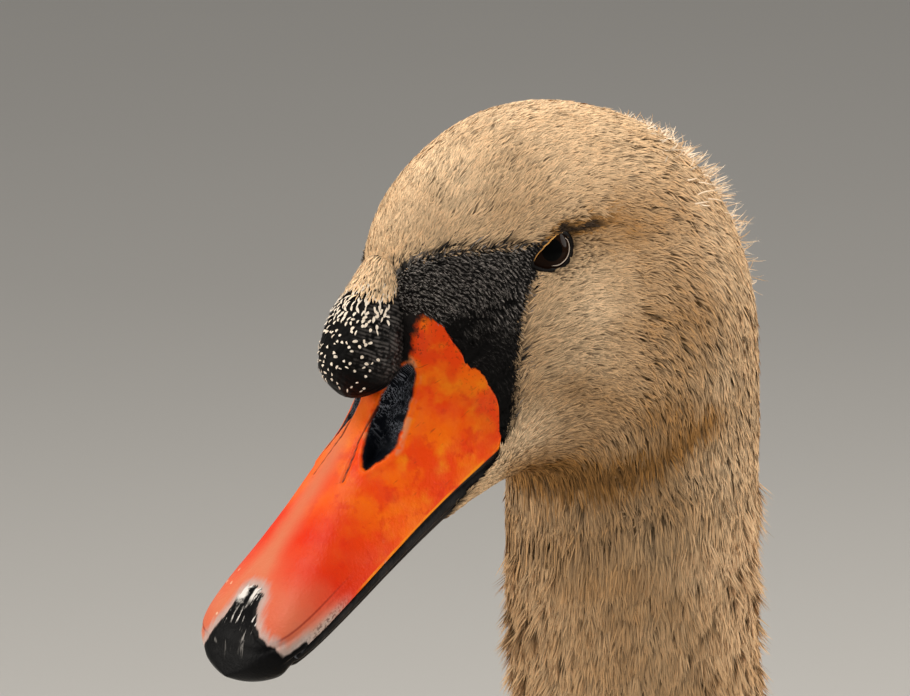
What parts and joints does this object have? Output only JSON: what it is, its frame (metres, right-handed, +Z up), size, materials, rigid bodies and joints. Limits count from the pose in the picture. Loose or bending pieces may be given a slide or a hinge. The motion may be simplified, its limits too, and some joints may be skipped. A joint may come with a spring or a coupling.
{
  "type": "mute swan",
  "caption": "Adult mute swan at life size, sitting on its belly as it floats, with its neck raised, its orange bill pointing down ahead and its wings folded.",
  "frame": {"origin": "middle of the bird's width and length, at the level its belly rests on", "axes": "+Z up, the bird faces -Y, its left side is +X"},
  "size_m": [0.3432, 0.8504, 0.7209],
  "materials": {
    "plumage": "soft feathering, matte, cream to buff",
    "flight_feathers": "smooth vanes, faint sheen",
    "bill_orange": "satin horn, deep orange to red, pinker at the tip",
    "bill_black": "satin black horn",
    "eye": "wet gloss, dark brown",
    "leg_skin": "scaly matte skin, near black"
  },
  "bodies": {
    "root": {"head": "plumage", "neck_upper": "plumage", "neck_middle": "plumage", "neck_lower": "plumage", "chest": "plumage", "trunk": "plumage", "rump": "plumage", "wing_left": "plumage", "wing_right": "plumage", "primaries_left": "flight_feathers", "primaries_right": "flight_feathers", "tail": "flight_feathers", "bill_upper": "bill_orange", "bill_lower": "bill_black", "bill_nail": "bill_black", "bill_knob": "bill_black", "eye_left": "eye", "eye_right": "eye", "leg_left": "leg_skin", "leg_right": "leg_skin", "foot_left": "leg_skin", "foot_right": "leg_skin"}
  },
  "joints": []
}
